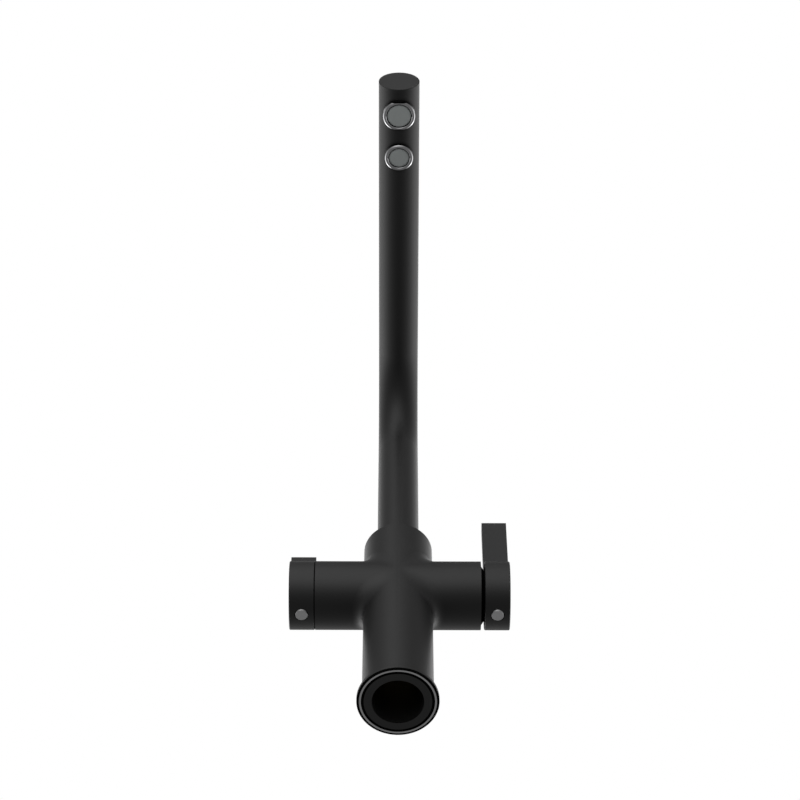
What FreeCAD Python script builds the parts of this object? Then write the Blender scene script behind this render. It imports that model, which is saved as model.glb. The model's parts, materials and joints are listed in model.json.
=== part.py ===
import FreeCAD, Part
import math
import os
import re
import Sketcher

# Kitchen tap with a mixing lever, a selector lever and a swivel spout with two outlets.
# Millimetres. Z is up, the spout points to -Y, the origin is the centre of the base underside.

V = FreeCAD.Vector
UP = V(0, 0, 1)
doc = FreeCAD.newDocument("kitchen_tap")
sheet = doc.addObject("Spreadsheet::Sheet", "dims")

SIZES = (
    ("tube_od", 28.6, "spout tube, outer diameter"),
    ("tube_wall", 1.5, "spout tube, wall"),
    ("bend_radius", 55, "spout bend, centre line"),
    ("spout_height", 359.3, "axis of the level run above the worktop"),
    ("spout_reach", 272, "column axis to the end face of the spout"),
    ("cap_plate", 3, "end cap, plate"),
    ("cap_spigot", 5, "end cap, part inside the tube"),
    ("column_od", 46.8, "column of the body"),
    ("arm_step", 0.2, "arms are this much thinner than the column"),
    ("arm_height", 120.7, "axis of the arms above the worktop"),
    ("arm_reach", 56, "column axis to the end of an arm"),
    ("body_height", 174.2, "top of the column"),
    ("side_blend", 8, "blend of arms and column, above and below the arms"),
    ("front_blend", 40, "the same blend, in the middle of the front and the back"),
    ("soft_edge", 0.5, "small chamfer on outer edges"),
    ("foot_od", 44.4, "foot of the column under the flange"),
    ("base_bore", 34, "open bore under the base"),
    ("bore_depth", 48, "depth of that bore"),
    ("flange_od", 53.8, "base flange"),
    ("flange_height", 6.4, "base flange, total height"),
    ("flange_rim", 3, "base flange, top of the upright rim"),
    ("flange_chamfer", 0.3, "base flange, lower edge"),
    ("flange_lift", 0.2, "base flange stays this far off the worktop"),
    ("flange_lip", 0.6, "base flange, width of its upper edge"),
    ("trim_od", 50.4, "bright ring under the base"),
    ("trim_width", 1.2, "bright ring, width"),
    ("trim_height", 3, "bright ring, height"),
    ("manifold_height", 14, "inlet manifold above the bore"),
    ("manifold_od", 32, "inlet manifold, diameter"),
    ("socket_pitch", 6.5, "hose sockets and water ways from the middle planes"),
    ("hose_socket", 7, "hose socket, core diameter"),
    ("hose_depth", 11, "hose socket, depth"),
    ("passage_od", 5, "level water ways"),
    ("riser_od", 4, "upright water ways"),
    ("seal_section", 2, "section of the sealing rings"),
    ("seal_float", 0.2, "a ring groove is this much wider than its ring"),
    ("swivel_depth", 33.7, "depth of the swivel bore in the column"),
    ("bush_depth", 10.5, "swivel bush, depth of its seat"),
    ("bush_od", 33, "swivel bush, outer diameter"),
    ("bush_drop", 0.4, "top of the bush below the top of the column"),
    ("thrust_height", 0.8, "thrust washer under the shank"),
    ("thrust_width", 3.2, "thrust washer, width"),
    ("tube_insert", 11.5, "part of the tube inside the column"),
    ("shank_spigot", 12, "part of the shank inside the tube"),
    ("shank_bore", 19, "bore of the shank"),
    ("low_ring", 4.7, "lower sealing ring above the swivel floor"),
    ("high_ring", 9.5, "upper sealing ring above the swivel floor"),
    ("stop_height", 17, "retaining screw above the swivel floor"),
    ("stop_screw", 5, "retaining screw, diameter"),
    ("stop_sink", 1.5, "retaining screw below the column surface"),
    ("stop_depth", 1.8, "depth of the groove that it runs in"),
    ("stop_turn", 165, "length of that groove in degrees"),
    ("line_od", 8, "treated water line in the spout"),
    ("line_wall", 1, "treated water line, wall"),
    ("line_lift", 1.4, "lower end of that line above the swivel floor"),
    ("line_seat", 2, "depth of its seat in the rear socket"),
    ("front_outlet", 252.4, "front outlet from the column axis"),
    ("front_ring_od", 22.4, "front aerator housing"),
    ("front_lip", 17.9, "front aerator housing, opening"),
    ("front_disc", 16.6, "front aerator insert, visible face"),
    ("rear_outlet", 219.9, "rear outlet from the column axis"),
    ("rear_ring_od", 19.8, "rear aerator housing"),
    ("rear_lip", 15.2, "rear aerator housing, opening"),
    ("rear_disc", 14.2, "rear aerator insert, visible face"),
    ("ring_drop", 2, "face of the aerator below the tube"),
    ("ring_plate", 1.4, "visible ring of the aerator housing, height"),
    ("ring_chamfer", 0.6, "edges of that ring"),
    ("sleeve_step", 2.1, "thread of the housing is this much thinner than its ring"),
    ("sleeve_wall", 0.75, "wall of the housing round the insert"),
    ("sleeve_length", 7, "thread length of the housing"),
    ("lip_height", 2.4, "lower lip of the housing"),
    ("disc_recess", 0.6, "insert face above the ring face"),
    ("insert_height", 7, "aerator insert"),
    ("washer_height", 1.6, "aerator washer"),
    ("washer_width", 2.2, "aerator washer, width"),
    ("socket_wall", 0.9, "outlet socket, wall round the thread"),
    ("cup_height", 20, "rear socket above the tube underside"),
    ("cup_bore", 11, "rear socket, upper chamber"),
    ("cup_roof", 2, "rear socket, roof"),
    ("flat_depth", 1.2, "spanner flats on the front aerator housing"),
    ("mixer_gap", 2.4, "gap between the right arm and its knob"),
    ("selector_gap", 0.3, "gap between the left arm and its knob"),
    ("knob_width", 17.2, "both knobs"),
    ("knob_plate", 5.7, "both knobs, outer wall"),
    ("knob_rim", 4, "both knobs, round wall"),
    ("boss_od", 16, "both knobs, inner boss"),
    ("boss_recess", 4.6, "boss behind the inner edge of the knob"),
    ("lever_thickness", 8, "both levers"),
    ("lever_root", 2, "levers start this deep inside the knob rim"),
    ("mixer_lever", 84.5, "tip of the right lever above its axis"),
    ("selector_lever", 41, "tip of the left lever above its axis"),
    ("lever_round", 0.6, "edges of the lever tips"),
    ("square_side", 8, "square of both spindles"),
    ("square_tip", 1, "spindles run this far into the knob plate"),
    ("set_screw", 5, "set screws of the knobs"),
    ("set_length", 6, "set screws, length"),
    ("set_socket", 2.5, "hexagon sockets of the screws"),
    ("plug_od", 9.2, "screw cover plugs"),
    ("plug_height", 3.2, "screw cover plugs, height"),
    ("plug_proud", 0.1, "plug face below the lowest line of the knob"),
    ("plug_chamfer", 0.7, "edge of the plug face"),
    ("chamber_depth", 29.5, "cartridge chamber in the right arm"),
    ("chamber_od", 35.2, "cartridge chamber, diameter"),
    ("cartridge_od", 35, "cartridge housing"),
    ("cartridge_wall", 3.2, "cartridge housing, wall"),
    ("seal_height", 1.2, "port seal"),
    ("fixed_height", 3.5, "fixed ceramic discs"),
    ("moving_height", 3.4, "moving ceramic discs"),
    ("disc_gap", 0.1, "lapped faces of the discs"),
    ("carrier_height", 3.9, "carrier of the moving disc"),
    ("carrier_od", 25.2, "carrier and moving disc of the cartridge"),
    ("carrier_floor", 0.8, "floor of the spindle hole in the carrier"),
    ("turret_flange", 6.8, "turret, wide part"),
    ("turret_neck", 22.8, "turret, neck diameter"),
    ("turret_rise", 2.5, "turret above the cartridge housing"),
    ("collar_height", 4.5, "collar of the cartridge housing"),
    ("collar_od", 29, "collar of the cartridge housing, diameter"),
    ("shoulder_step", 0.5, "shoulder of the housing above the collar floor"),
    ("nut_height", 5, "cartridge nut"),
    ("nut_od", 40.4, "cartridge nut, diameter"),
    ("nut_space", 1, "nut thread starts this far below the nut"),
    ("dome_radius", 32.5, "dome cover, sphere"),
    ("dome_wall", 1.5, "dome cover, wall"),
    ("dome_hole", 18, "dome cover, opening for the spindle"),
    ("pivot_rise", 2, "pivot pin above the collar floor"),
    ("pivot_pin", 3, "pivot pin, diameter"),
    ("blade_width", 6, "flat blade of the mixing spindle"),
    ("blade_slot", 11, "slot of the turret along the tilt"),
    ("tip_od", 6, "round tip of the mixing spindle"),
    ("tip_length", 4, "round tip, length"),
    ("valve_depth", 36, "valve bore in the left arm"),
    ("valve_pitch", 5.5, "selector ports from its axis"),
    ("valve_od", 24, "valve housing, thread"),
    ("valve_chamber", 18.4, "valve housing, disc chamber"),
    ("valve_flange", 3.7, "flange of the selector spindle"),
    ("valve_disc", 17.8, "selector discs"),
    ("valve_shaft", 10, "selector spindle"),
    ("valve_neck", 19, "valve housing, neck"),
    ("hex_flats", 27, "valve housing, hexagon"),
    ("hex_height", 6, "valve housing, hexagon height"),
    ("hex_depth", 12, "hexagon seat inside the left arm"),
    ("hex_space", 34, "left arm, opening round the hexagon"),
    ("slide_od", 43.8, "slide ring between the left arm and its knob"),
    ("slide_depth", 2, "slide ring, part inside the arm"),
    ("neck_gap", 0.5, "neck of the valve housing before the boss"),
    ("fit_gap", 0.02, "fixed fits"),
    ("run_gap", 0.05, "running fits, on the radius"),
    ("free_gap", 0.3, "free space between moving pieces"),
    ("overcut", 1, "cuts run this far past open ends"),
)

for row, (alias, size, note) in enumerate(SIZES, 1):
    sheet.set(f"A{row}", alias)
    sheet.set(f"B{row}", str(size))
    sheet.setAlias(f"B{row}", alias)
    sheet.set(f"C{row}", note)
doc.recompute()
ALIASES = {alias for alias, size, note in SIZES}


def bound(text):
    """Expression text with every size named through the sheet."""
    return re.sub(r"[a-z_]+", lambda word: ("dims." if word[0] in ALIASES else "") + word[0], text)


def number(text):
    """Present value of an expression."""
    return float(sheet.evalExpression(bound(text)))


def new_body(label, height=None, about_turn=False):
    """Empty body, its origin lifted to a height, turned to the left side if asked."""
    body = doc.addObject("PartDesign::Body", label)
    body.Label = label
    if about_turn:
        body.Placement = FreeCAD.Placement(V(0, 0, 0), FreeCAD.Rotation(UP, 180))
    if height:
        body.setExpression("Placement.Base.z", bound(height))
    return body


def new_sketch(body, plane, lift=None):
    """Sketch on an origin plane of the body, moved along its normal by lift."""
    sketch = body.newObject("Sketcher::SketchObject", body.Name + "_sketch")
    support = next(item for item in body.Origin.OriginFeatures if item.Role == plane)
    sketch.AttachmentSupport = (support, [""])
    sketch.MapMode = "FlatFace"
    if lift:
        sketch.setExpression("AttachmentOffset.Base.z", bound(lift))
    return sketch


def pin(sketch, index, spot, across, up):
    """Ties one point of a sketch to expressions for its coordinates."""
    for kind, axis, text in (("DistanceX", -2, across), ("DistanceY", -1, up)):
        if text is None:
            continue
        if text == "0":
            sketch.addConstraint(Sketcher.Constraint("PointOnObject", index, spot, axis))
            continue
        at = sketch.addConstraint(Sketcher.Constraint(kind, index, spot, number(text)))
        sketch.setExpression(f"Constraints[{at}]", bound(text))


def corner(point):
    return V(number(point[0]), number(point[1]), 0)


def outline(sketch, points):
    """Closed outline with straight sides through the points."""
    first = sketch.GeometryCount
    count = len(points)
    for index in range(count):
        side = Part.LineSegment(corner(points[index]), corner(points[(index + 1) % count]))
        sketch.addGeometry(side, False)
    for index in range(count):
        following = first + (index + 1) % count
        sketch.addConstraint(Sketcher.Constraint("Coincident", first + index, 2, following, 1))
    for index, (across, up) in enumerate(points):
        pin(sketch, first + index, 1, across, up)
    return sketch


def ring(sketch, across, up, diameter):
    """Circle with its centre and diameter tied to expressions."""
    circle = Part.Circle(corner((across, up)), UP, number(diameter) / 2)
    index = sketch.addGeometry(circle, False)
    pin(sketch, index, 3, across, up)
    at = sketch.addConstraint(Sketcher.Constraint("Diameter", index, number(diameter)))
    sketch.setExpression(f"Constraints[{at}]", bound(diameter))
    return sketch


def hexagon(sketch, flats):
    """Hexagon round the sketch origin, given across its flats."""
    far = f"{flats} / sqrt(3)"
    near = f"{flats} / sqrt(12)"
    side = f"{flats} / 2"
    corners = [(far, "0"), (near, side), (f"-({near})", side)]
    corners += [(f"-({far})", "0"), (f"-({near})", f"-({side})"), (near, f"-({side})")]
    return outline(sketch, corners)


def box_outline(sketch, left, right, low, high):
    return outline(sketch, [(left, low), (right, low), (right, high), (left, high)])


def revolve(body, sketch, axis, cut=False, angle=None):
    """Turned feature about an axis of its sketch."""
    kind = "PartDesign::Groove" if cut else "PartDesign::Revolution"
    feature = body.newObject(kind, body.Name + "_turn")
    feature.Profile = sketch
    feature.ReferenceAxis = (sketch, [axis])
    feature.Angle = 360
    if angle:
        feature.Midplane = True
        feature.setExpression("Angle", bound(angle))
    body.Tip = feature
    return feature


def extrude(body, sketch, length, cut=False, back=False, both=False):
    """Pad or pocket of a sketch; back goes against the usual direction."""
    kind = "PartDesign::Pocket" if cut else "PartDesign::Pad"
    feature = body.newObject(kind, body.Name + "_run")
    feature.Profile = sketch
    feature.setExpression("Length", bound(length))
    feature.Reversed = back
    if both:
        feature.SideType = "Symmetric"
    body.Tip = feature


def turned_z(label, points, height=None):
    """Piece turned about Z from (radius, height) points."""
    body = new_body(label, height)
    revolve(body, outline(new_sketch(body, "XZ_Plane"), points), "V_Axis")
    return body


def turned_x(label, points, about_turn=False):
    """Piece turned about the axis of the arms from (distance, radius) points."""
    body = new_body(label, "arm_height", about_turn)
    revolve(body, outline(new_sketch(body, "XZ_Plane"), points), "H_Axis")
    return body


def cut_turn(body, points, axis):
    revolve(body, outline(new_sketch(body, "XZ_Plane"), points), axis, cut=True)


def sealing_ring(label, radius, section, height):
    """Ring of round section about Z."""
    body = new_body(label)
    revolve(body, ring(new_sketch(body, "XZ_Plane"), radius, height, section), "V_Axis")


def round_edges(body, radius, wanted):
    """Rounds the edges of the present shape that the test picks."""
    doc.recompute()
    tip = body.Tip
    names = [f"Edge{at}" for at, edge in enumerate(tip.Shape.Edges, 1) if wanted(edge)]
    feature = body.newObject("PartDesign::Fillet", body.Name + "_round")
    feature.Base = (tip, names)
    feature.setExpression("Radius", bound(radius))
    body.Tip = feature


COLUMN_R = "column_od / 2"
ARM_R = "(column_od - arm_step) / 2"
FOOT_R = "foot_od / 2"
BORE_R = "base_bore / 2"
TUBE_R = "tube_od / 2"
TUBE_BORE = "tube_od - 2 * tube_wall"
BODY_TOP = "body_height - arm_height"
BASE = "-arm_height"
SWIVEL_FLOOR = "body_height - swivel_depth"
SWIVEL_R = f"{TUBE_R} + 2 * run_gap"
BUSH_SEAT = "body_height - bush_depth"

# Stack of the mixing cartridge along the right arm
CHAMBER = "arm_reach - chamber_depth"
SEAL_OUT = f"{CHAMBER} + seal_height"
FIXED_OUT = f"{SEAL_OUT} + fixed_height"
MOVING_IN = f"{FIXED_OUT} + disc_gap"
MOVING_OUT = f"{MOVING_IN} + moving_height"
CARRIER_OUT = f"{MOVING_OUT} + carrier_height"
TURRET_IN = f"{CARRIER_OUT} + free_gap"
TURRET_SHOULDER = f"{TURRET_IN} + turret_flange"
COLLAR_IN = f"{TURRET_SHOULDER} + free_gap"
COLLAR_OUT = f"{COLLAR_IN} + collar_height"
NUT_IN = f"{COLLAR_IN} + shoulder_step"
NUT_OUT = f"{NUT_IN} + nut_height"
TURRET_OUT = f"{COLLAR_OUT} + turret_rise"
PIVOT = f"{COLLAR_IN} + pivot_rise"
CAVITY_R = "cartridge_od / 2 - cartridge_wall"

# Stack of the selector valve along the left arm
VALVE_FLOOR = "arm_reach - valve_depth"
VALVE_SEAL_OUT = f"{VALVE_FLOOR} + seal_height"
VALVE_FIXED_OUT = f"{VALVE_SEAL_OUT} + fixed_height"
VALVE_MOVING_IN = f"{VALVE_FIXED_OUT} + disc_gap"
VALVE_MOVING_OUT = f"{VALVE_MOVING_IN} + moving_height"
VALVE_FLANGE_OUT = f"{VALVE_MOVING_OUT} + valve_flange"
VALVE_ROOF = f"{VALVE_FLANGE_OUT} + free_gap"
HEX_IN = "arm_reach - hex_depth"
SLIDE_IN = "arm_reach - slide_depth"
SELECTOR_BOSS = "arm_reach + selector_gap + boss_recess"

# Blank of the body: column and arms as half rounds, so that the edge where they cross has
# its corners at the front and the back and above and below the arms
blank = new_body("casting_blank")


def half_round(sketch, axis):
    """Half turn of a sketch, added to the blank with its seams kept."""
    half = revolve(blank, sketch, axis)
    half.Angle = 180
    half.Refine = False


for side in ("", "-"):
    half_column = [
        ("0", BASE),
        (f"{side}{FOOT_R}", BASE),
        (f"{side}{FOOT_R}", f"{BASE} + trim_height"),
        (f"{side}{COLUMN_R}", f"{BASE} + trim_height"),
        (f"{side}{COLUMN_R}", f"{BODY_TOP} - soft_edge"),
        (f"{side}({COLUMN_R} - soft_edge)", BODY_TOP),
        ("0", BODY_TOP),
    ]
    half_round(outline(new_sketch(blank, "XZ_Plane"), half_column), "V_Axis")
for side in ("", "-"):
    half_arms = box_outline(new_sketch(blank, "XY_Plane"), "-arm_reach", "arm_reach", "0", f"{side}{ARM_R}")
    half_round(half_arms, "H_Axis")
doc.recompute()


def blend_at(point):
    """Blend radius at a corner of the crossing edge: wide at the front and the back."""
    return number("front_blend" if abs(point.x) < number(COLUMN_R) / 2 else "side_blend")


# Blend of the crossing edge, its radius growing from the sides to the front and the back
blend = doc.addObject("Part::Fillet", "casting_blend")
blend.Base = blank
blend_edges = []
for index, edge in enumerate(blank.Shape.Edges, 1):
    if not isinstance(edge.Curve, (Part.Line, Part.Circle)):
        start = edge.valueAt(edge.FirstParameter)
        end = edge.valueAt(edge.LastParameter)
        blend_edges.append((index, blend_at(start), blend_at(end)))
blend.Edges = blend_edges

# Body: the blended blank, bored
casting = new_body("body_casting", "arm_height")
casting.BaseFeature = blend
MANIFOLD_TOP = "bore_depth + manifold_height"
lower_bore = [
    ("0", f"{BASE} - overcut"),
    (BORE_R, f"{BASE} - overcut"),
    (BORE_R, f"{BASE} + bore_depth"),
    ("manifold_od / 2", f"{BASE} + bore_depth"),
    ("manifold_od / 2", f"{BASE} + {MANIFOLD_TOP}"),
    ("0", f"{BASE} + {MANIFOLD_TOP}"),
]
cut_turn(casting, lower_bore, "V_Axis")
swivel_bore = [
    ("0", f"{SWIVEL_FLOOR} - arm_height"),
    (SWIVEL_R, f"{SWIVEL_FLOOR} - arm_height"),
    (SWIVEL_R, f"{BUSH_SEAT} - arm_height"),
    ("bush_od / 2", f"{BUSH_SEAT} - arm_height"),
    ("bush_od / 2", f"{BODY_TOP} + overcut"),
    ("0", f"{BODY_TOP} + overcut"),
]
cut_turn(casting, swivel_bore, "V_Axis")
chamber = [
    (CHAMBER, "0"),
    ("arm_reach + overcut", "0"),
    ("arm_reach + overcut", "nut_od / 2 + fit_gap"),
    (f"{NUT_IN} - nut_space", "nut_od / 2 + fit_gap"),
    (f"{NUT_IN} - nut_space", "chamber_od / 2"),
    (CHAMBER, "chamber_od / 2"),
]
cut_turn(casting, chamber, "H_Axis")
valve_bore = [
    (f"-({VALVE_FLOOR})", "0"),
    (f"-({VALVE_FLOOR})", "valve_od / 2 + fit_gap"),
    (f"-({HEX_IN})", "valve_od / 2 + fit_gap"),
    (f"-({HEX_IN})", "hex_space / 2"),
    (f"-({SLIDE_IN})", "hex_space / 2"),
    (f"-({SLIDE_IN})", "slide_od / 2 + fit_gap"),
    ("-(arm_reach + overcut)", "slide_od / 2 + fit_gap"),
    ("-(arm_reach + overcut)", "0"),
]
cut_turn(casting, valve_bore, "H_Axis")
INLETS = [("socket_pitch", "socket_pitch"), ("socket_pitch", "-socket_pitch")]
INLETS += [("-socket_pitch", "socket_pitch"), ("-socket_pitch", "-socket_pitch")]
risers = new_sketch(casting, "XY_Plane", f"{BASE} + {MANIFOLD_TOP}")
for across, up in INLETS:
    ring(risers, across, up, "riser_od")
extrude(casting, risers, f"arm_height - ({MANIFOLD_TOP})", cut=True, back=True)


def three_ports(sketch, pitch):
    """Two inlets side by side and one outlet above them."""
    for across, up in ((pitch, "0"), (f"-{pitch}", "0"), ("0", pitch)):
        ring(sketch, across, up, "passage_od")
    return sketch


right_ports = three_ports(new_sketch(casting, "YZ_Plane", CHAMBER), "socket_pitch")
left_ports = three_ports(new_sketch(casting, "YZ_Plane", f"-({VALVE_FLOOR})"), "valve_pitch")
extrude(casting, right_ports, f"{CHAMBER} - socket_pitch", cut=True)
extrude(casting, left_ports, f"{VALVE_FLOOR} - socket_pitch", cut=True, back=True)
selector_start = new_sketch(casting, "YZ_Plane", "-socket_pitch - overcut")
selector_way = ring(selector_start, "0", "valve_pitch", "passage_od")
extrude(casting, selector_way, "socket_pitch + overcut", cut=True, back=True)
outlets = new_sketch(casting, "XY_Plane", f"{SWIVEL_FLOOR} - arm_height")
ring(outlets, "0", "0", "riser_od")
ring(outlets, "socket_pitch", "0", "riser_od")
extrude(casting, outlets, f"{SWIVEL_FLOOR} - arm_height - socket_pitch", cut=True)
stop_level = f"{SWIVEL_FLOOR} + stop_height - arm_height"
stop_hole = ring(new_sketch(casting, "XZ_Plane"), "0", stop_level, "stop_screw")
extrude(casting, stop_hole, f"{COLUMN_R} + overcut", cut=True)

# Base
FLANGE_BORE = f"{COLUMN_R} + fit_gap"
TRIM_R = "trim_od / 2"
flange = [
    (f"{TRIM_R} + fit_gap", "flange_lift"),
    ("flange_od / 2 - flange_chamfer", "flange_lift"),
    ("flange_od / 2", "flange_lift + flange_chamfer"),
    ("flange_od / 2", "flange_rim"),
    (f"{FLANGE_BORE} + flange_lip", "flange_height"),
    (FLANGE_BORE, "flange_height"),
    (FLANGE_BORE, "trim_height"),
    (f"{TRIM_R} + fit_gap", "trim_height"),
]
turned_z("base_flange", flange)
trim = [
    (f"{TRIM_R} - trim_width", "0"),
    (TRIM_R, "0"),
    (TRIM_R, "trim_height"),
    (f"{TRIM_R} - trim_width", "trim_height"),
]
turned_z("base_trim_ring", trim)
GROOVE_WIDTH = f"{TRIM_R} - trim_width - {FOOT_R}"
GROOVE_MIDDLE = f"({TRIM_R} - trim_width + {FOOT_R}) / 2"
sealing_ring("base_seal", GROOVE_MIDDLE, GROOVE_WIDTH, f"trim_height - ({GROOVE_WIDTH}) / 2")

# Inlet manifold with four hose sockets, at the top of the base bore
MANIFOLD_R = "manifold_od / 2 - fit_gap"
MANIFOLD_MIDDLE = "bore_depth + manifold_height / 2"
MANIFOLD_GROOVE = "seal_section / 2 + seal_float / 2"
SEAL_FLOOR = "manifold_od / 2 - seal_section"
manifold = turned_z("inlet_manifold", [
    ("0", "bore_depth"),
    (MANIFOLD_R, "bore_depth"),
    (MANIFOLD_R, f"{MANIFOLD_MIDDLE} - ({MANIFOLD_GROOVE})"),
    (SEAL_FLOOR, f"{MANIFOLD_MIDDLE} - ({MANIFOLD_GROOVE})"),
    (SEAL_FLOOR, f"{MANIFOLD_MIDDLE} + {MANIFOLD_GROOVE}"),
    (MANIFOLD_R, f"{MANIFOLD_MIDDLE} + {MANIFOLD_GROOVE}"),
    (MANIFOLD_R, MANIFOLD_TOP),
    ("0", MANIFOLD_TOP),
])
sockets = new_sketch(manifold, "XY_Plane", "bore_depth")
ways = new_sketch(manifold, "XY_Plane", "bore_depth")
for across, up in INLETS:
    ring(sockets, across, up, "hose_socket")
    ring(ways, across, up, "riser_od")
extrude(manifold, sockets, "hose_depth", cut=True, back=True)
extrude(manifold, ways, "manifold_height + overcut", cut=True, back=True)
sealing_ring("manifold_seal", f"{SEAL_FLOOR} + seal_section / 2", "seal_section", MANIFOLD_MIDDLE)


def port_disc(label, diameter, start, height, pitch, about_turn=False):
    """Disc across an arm with the three water ports."""
    body = new_body(label, "arm_height", about_turn)
    sketch = ring(new_sketch(body, "YZ_Plane", start), "0", "0", diameter)
    extrude(body, three_ports(sketch, pitch), height)


# Mixing cartridge in the right arm
port_disc("cartridge_seal", "cartridge_od", CHAMBER, "seal_height", "socket_pitch")
port_disc("cartridge_fixed_disc", f"2 * ({CAVITY_R} - fit_gap)", SEAL_OUT, "fixed_height", "socket_pitch")
turned_x("cartridge_housing", [
    (SEAL_OUT, CAVITY_R),
    (SEAL_OUT, "cartridge_od / 2"),
    (NUT_IN, "cartridge_od / 2"),
    (NUT_IN, "collar_od / 2"),
    (COLLAR_OUT, "collar_od / 2"),
    (COLLAR_OUT, "turret_neck / 2 + free_gap"),
    (COLLAR_IN, "turret_neck / 2 + free_gap"),
    (COLLAR_IN, CAVITY_R),
])
turned_x("cartridge_nut", [
    (NUT_IN, "collar_od / 2 + fit_gap"),
    (NUT_IN, "nut_od / 2"),
    (NUT_OUT, "nut_od / 2"),
    (NUT_OUT, "collar_od / 2 + fit_gap"),
])

# Dome cover: a spherical cap with a short skirt, seen in the gap behind the right knob
SKIRT_R = "nut_od / 2"
DOME_MIDDLE = f"arm_reach - sqrt(dome_radius ^ 2 - ({SKIRT_R}) ^ 2)"
INNER_DOME = "(dome_radius - dome_wall)"
INNER_SKIRT = f"{SKIRT_R} - dome_wall"
HOLE_R = "dome_hole / 2"
dome = new_body("cartridge_dome", "arm_height")
dome_sketch = new_sketch(dome, "XZ_Plane")
dome_points = [
    (f"{DOME_MIDDLE} + sqrt({INNER_DOME} ^ 2 - ({INNER_SKIRT}) ^ 2)", INNER_SKIRT),
    (NUT_OUT, INNER_SKIRT),
    (NUT_OUT, SKIRT_R),
    ("arm_reach", SKIRT_R),
    (f"{DOME_MIDDLE} + sqrt(dome_radius ^ 2 - ({HOLE_R}) ^ 2)", HOLE_R),
    (f"{DOME_MIDDLE} + sqrt({INNER_DOME} ^ 2 - ({HOLE_R}) ^ 2)", HOLE_R),
]
dome_corners = [corner(point) for point in dome_points]
middle = number(DOME_MIDDLE)


def cap_arc(start, end):
    """Arc of a circle round the middle of the dome, anticlockwise from start to end."""
    centre = V(middle, 0, 0)
    first = V(1, 0, 0).getAngle(start - centre)
    last = V(1, 0, 0).getAngle(end - centre)
    return Part.ArcOfCircle(Part.Circle(centre, UP, (start - centre).Length), first, last)


for index in range(3):
    dome_sketch.addGeometry(Part.LineSegment(dome_corners[index], dome_corners[index + 1]), False)
dome_sketch.addGeometry(cap_arc(dome_corners[4], dome_corners[3]), False)
dome_sketch.addGeometry(Part.LineSegment(dome_corners[4], dome_corners[5]), False)
dome_sketch.addGeometry(cap_arc(dome_corners[5], dome_corners[0]), False)
for first, first_end, second, second_end in (
    (0, 2, 1, 1),
    (1, 2, 2, 1),
    (2, 2, 3, 2),
    (3, 1, 4, 1),
    (4, 2, 5, 1),
    (5, 2, 0, 1),
):
    dome_sketch.addConstraint(Sketcher.Constraint("Coincident", first, first_end, second, second_end))
for arc in (3, 5):
    pin(dome_sketch, arc, 3, DOME_MIDDLE, "0")
pin(dome_sketch, 0, 1, None, INNER_SKIRT)
pin(dome_sketch, 1, 1, NUT_OUT, INNER_SKIRT)
pin(dome_sketch, 2, 1, NUT_OUT, SKIRT_R)
pin(dome_sketch, 2, 2, "arm_reach", SKIRT_R)
pin(dome_sketch, 4, 1, None, HOLE_R)
pin(dome_sketch, 4, 2, dome_points[5][0], HOLE_R)
revolve(dome, dome_sketch, "H_Axis")

# Turret: turns with the lever, holds the pivot pin of the spindle
turret = turned_x("cartridge_turret", [
    (TURRET_IN, "0"),
    (TURRET_IN, f"{CAVITY_R} - free_gap"),
    (TURRET_SHOULDER, f"{CAVITY_R} - free_gap"),
    (TURRET_SHOULDER, "turret_neck / 2"),
    (TURRET_OUT, "turret_neck / 2"),
    (TURRET_OUT, "0"),
])
slot = new_sketch(turret, "YZ_Plane", f"{TURRET_OUT} + overcut")
BLADE_Y = "blade_width / 2 + free_gap"
box_outline(slot, f"-({BLADE_Y})", BLADE_Y, "-blade_slot / 2", "blade_slot / 2")
extrude(turret, slot, f"{TURRET_OUT} - ({TURRET_IN}) + 2 * overcut", cut=True)
pin_hole = ring(new_sketch(turret, "XZ_Plane"), PIVOT, "0", "pivot_pin")
extrude(turret, pin_hole, "turret_neck + overcut", cut=True, both=True)
pivot = new_body("cartridge_pivot_pin", "arm_height")
pivot_sketch = ring(new_sketch(pivot, "XZ_Plane"), PIVOT, "0", "pivot_pin - 2 * fit_gap")
extrude(pivot, pivot_sketch, "turret_neck - 2 * free_gap", both=True)

# Moving disc and its carrier, pushed by the tip of the spindle
TIP_SPACE = "tip_od + 2 * free_gap"
carrier = new_body("disc_carrier", "arm_height")
carrier_sketch = ring(new_sketch(carrier, "YZ_Plane", MOVING_OUT), "0", "0", "carrier_od")
extrude(carrier, carrier_sketch, "carrier_height")
tip_hole = ring(new_sketch(carrier, "YZ_Plane", CARRIER_OUT), "0", "0", TIP_SPACE)
extrude(carrier, tip_hole, "carrier_height - carrier_floor", cut=True)
moving = new_body("cartridge_moving_disc", "arm_height")
extrude(moving, ring(new_sketch(moving, "YZ_Plane", MOVING_IN), "0", "0", "carrier_od"), "moving_height")
moving_recess = new_sketch(moving, "YZ_Plane", MOVING_IN)
ring(moving_recess, "0", "passage_od / 2", "2 * passage_od")
extrude(moving, moving_recess, "moving_height / 2", cut=True, back=True)

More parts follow.
